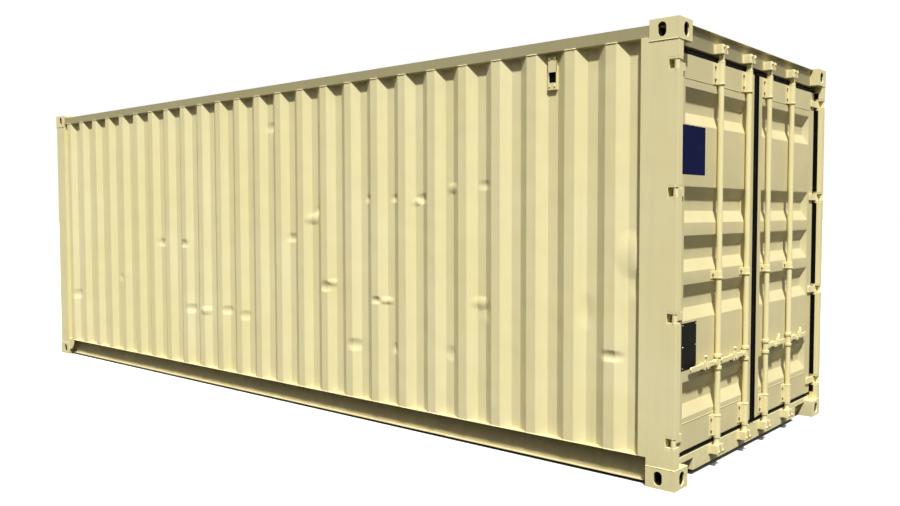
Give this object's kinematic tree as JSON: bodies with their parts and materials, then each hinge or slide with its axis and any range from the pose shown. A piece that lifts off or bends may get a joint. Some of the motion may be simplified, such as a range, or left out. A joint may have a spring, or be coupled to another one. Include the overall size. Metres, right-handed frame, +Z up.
{
  "type": "shipping container",
  "caption": "Corrugated steel freight box on corner castings, with hinged end doors held shut by turning lock bars with handles.",
  "frame": {"origin": "middle of the footprint, on the underside of the bottom castings", "axes": "+X along the length towards the doors, +Y across the width, +Z up"},
  "size_m": [7.315, 2.438, 2.591],
  "materials": {
    "painted_steel": "weathered satin paint",
    "seal_rubber": "matte",
    "plywood": "worn",
    "dark_plate": "satin"
  },
  "bodies": {
    "container_box": {"bottom_castings": "painted_steel", "top_castings": "painted_steel", "bottom_rail_left": "painted_steel", "bottom_rail_right": "painted_steel", "cross_members": "painted_steel", "floor_boards": "plywood", "front_sill": "painted_steel", "door_sill": "painted_steel", "sill_end_plates": "painted_steel", "front_posts": "painted_steel", "rear_posts": "painted_steel", "top_rail_left": "painted_steel", "top_rail_right": "painted_steel", "front_header": "painted_steel", "door_header": "painted_steel", "side_wall_left": "painted_steel", "side_wall_right": "painted_steel", "front_wall": "painted_steel", "roof": "painted_steel", "corner_gussets": "painted_steel", "ventilators": "painted_steel", "hinge_lugs": "painted_steel", "cam_keepers": "painted_steel"},
    "left_door": {"left_door_frame": "painted_steel", "left_door_panel": "painted_steel", "left_door_seal": "seal_rubber", "left_door_hinges": "painted_steel", "left_bar_brackets": "painted_steel", "left_handle_catches": "painted_steel", "data_plate": "dark_plate"},
    "right_door": {"right_door_frame": "painted_steel", "right_door_panel": "painted_steel", "right_door_seal": "seal_rubber", "right_door_hinges": "painted_steel", "right_bar_brackets": "painted_steel", "right_handle_catches": "painted_steel"},
    "lock_bar_1": {"lock_bar_1": "painted_steel"},
    "handle_1": {"handle_1": "painted_steel"},
    "lock_bar_2": {"lock_bar_2": "painted_steel"},
    "handle_2": {"handle_2": "painted_steel"},
    "lock_bar_3": {"lock_bar_3": "painted_steel"},
    "handle_3": {"handle_3": "painted_steel"},
    "lock_bar_4": {"lock_bar_4": "painted_steel"},
    "handle_4": {"handle_4": "painted_steel"}
  },
  "joints": [
    {"name": "left_door_swing", "type": "hinge", "parent": "container_box", "child": "left_door", "pos_m": [3.6395, -1.201, 0], "axis": [0, 0, -1], "range_deg": [0, 265]},
    {"name": "right_door_swing", "type": "hinge", "parent": "container_box", "child": "right_door", "pos_m": [3.6395, 1.201, 0], "axis": [0, 0, 1], "range_deg": [0, 265]},
    {"name": "lock_bar_1_turn", "type": "hinge", "parent": "left_door", "child": "lock_bar_1", "pos_m": [3.6275, -0.598, 0], "axis": [0, 0, -1], "range_deg": [-100, 0]},
    {"name": "handle_1_lift", "type": "hinge", "parent": "lock_bar_1", "child": "handle_1", "pos_m": [3.6275, -0.634, 0.64], "axis": [1, 0, 0], "range_deg": [-20, 0]},
    {"name": "lock_bar_2_turn", "type": "hinge", "parent": "left_door", "child": "lock_bar_2", "pos_m": [3.6275, -0.173, 0], "axis": [0, 0, -1], "range_deg": [-100, 0]},
    {"name": "handle_2_lift", "type": "hinge", "parent": "lock_bar_2", "child": "handle_2", "pos_m": [3.6275, -0.209, 0.64], "axis": [1, 0, 0], "range_deg": [-20, 0]},
    {"name": "lock_bar_3_turn", "type": "hinge", "parent": "right_door", "child": "lock_bar_3", "pos_m": [3.6275, 0.173, 0], "axis": [0, 0, 1], "range_deg": [-100, 0]},
    {"name": "handle_3_lift", "type": "hinge", "parent": "lock_bar_3", "child": "handle_3", "pos_m": [3.6275, 0.209, 0.64], "axis": [-1, 0, 0], "range_deg": [-20, 0]},
    {"name": "lock_bar_4_turn", "type": "hinge", "parent": "right_door", "child": "lock_bar_4", "pos_m": [3.6275, 0.598, 0], "axis": [0, 0, 1], "range_deg": [-100, 0]},
    {"name": "handle_4_lift", "type": "hinge", "parent": "lock_bar_4", "child": "handle_4", "pos_m": [3.6275, 0.634, 0.64], "axis": [-1, 0, 0], "range_deg": [-20, 0]}
  ]
}
